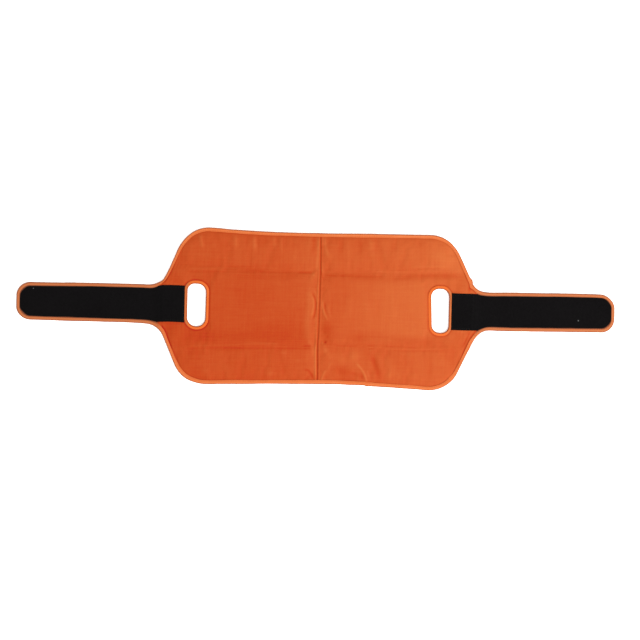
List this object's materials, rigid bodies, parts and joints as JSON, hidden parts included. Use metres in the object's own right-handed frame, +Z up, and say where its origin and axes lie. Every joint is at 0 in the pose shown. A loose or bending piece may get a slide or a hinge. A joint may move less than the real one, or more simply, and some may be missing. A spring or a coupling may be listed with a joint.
{
  "type": "knee pad",
  "caption": "Flat padded wrap-around knee pad of bound orange fabric over thin foam, with bound slots and black hook-and-loop tape on two tails.",
  "frame": {"origin": "on the resting plane, below the middle of the centre fold", "axes": "+X along the length towards the right tail, +Y across the panel, +Z up through the thickness; lying flat with the tape side up"},
  "size_m": [0.816, 0.2118, 0.0063],
  "materials": {
    "face_fabric": "plain woven orange face fabric",
    "back_fabric": "plain knitted orange lining",
    "foam": "closed-cell foam sheet",
    "edge_binding": "folded light orange binding tape",
    "slot_binding": "bright orange binding tape",
    "tail_binding": "dull orange binding tape",
    "fastening_tape": "black hook-and-loop tape",
    "thread": "orange sewing thread",
    "black_thread": "black sewing thread"
  },
  "bodies": {
    "left_half": {"left_face_panel": "face_fabric", "left_foam_pad": "foam", "left_back_panel": "back_fabric", "left_upper_binding": "edge_binding", "left_lower_binding": "edge_binding", "left_slot_binding": "slot_binding", "left_root_tape": "fastening_tape", "left_edge_stitching": "thread", "left_slot_stitching": "thread", "left_root_tape_stitching": "black_thread"},
    "left_tail": {"left_tail_backing": "back_fabric", "left_tail_tape": "fastening_tape", "left_tail_binding": "tail_binding", "left_tail_stitching": "thread"},
    "left_tip": {"left_tip_backing": "back_fabric", "left_tip_tape": "fastening_tape", "left_tip_binding": "tail_binding", "left_tip_stitching": "thread"},
    "right_half": {"right_face_panel": "face_fabric", "right_foam_pad": "foam", "right_back_panel": "back_fabric", "right_upper_binding": "edge_binding", "right_lower_binding": "edge_binding", "right_slot_binding": "slot_binding", "right_root_tape": "fastening_tape", "right_edge_stitching": "thread", "right_slot_stitching": "thread", "right_root_tape_stitching": "black_thread"},
    "right_tail": {"right_tail_backing": "back_fabric", "right_tail_tape": "fastening_tape", "right_tail_binding": "tail_binding", "right_tail_stitching": "thread"},
    "right_tip": {"right_tip_backing": "back_fabric", "right_tip_tape": "fastening_tape", "right_tip_binding": "tail_binding", "right_tip_stitching": "thread"}
  },
  "joints": [
    {"name": "centre_fold", "type": "hinge", "parent": "left_half", "child": "right_half", "pos_m": [0, 0, 0.0065], "axis": [0, 1, 0], "range_deg": [-178, 0]},
    {"name": "left_tail_root", "type": "hinge", "parent": "left_half", "child": "left_tail", "pos_m": [-0.216, 0, 0.0065], "axis": [0, 1, 0], "range_deg": [0, 160]},
    {"name": "right_tail_root", "type": "hinge", "parent": "right_half", "child": "right_tail", "pos_m": [0.216, 0, 0.0065], "axis": [0, -1, 0], "range_deg": [0, 160]},
    {"name": "left_tip_fold", "type": "hinge", "parent": "left_tail", "child": "left_tip", "pos_m": [-0.331, 0, 0.0034], "axis": [0, 1, 0], "range_deg": [0, 175]},
    {"name": "right_tip_fold", "type": "hinge", "parent": "right_tail", "child": "right_tip", "pos_m": [0.331, 0, 0.0034], "axis": [0, -1, 0], "range_deg": [0, 175]}
  ]
}
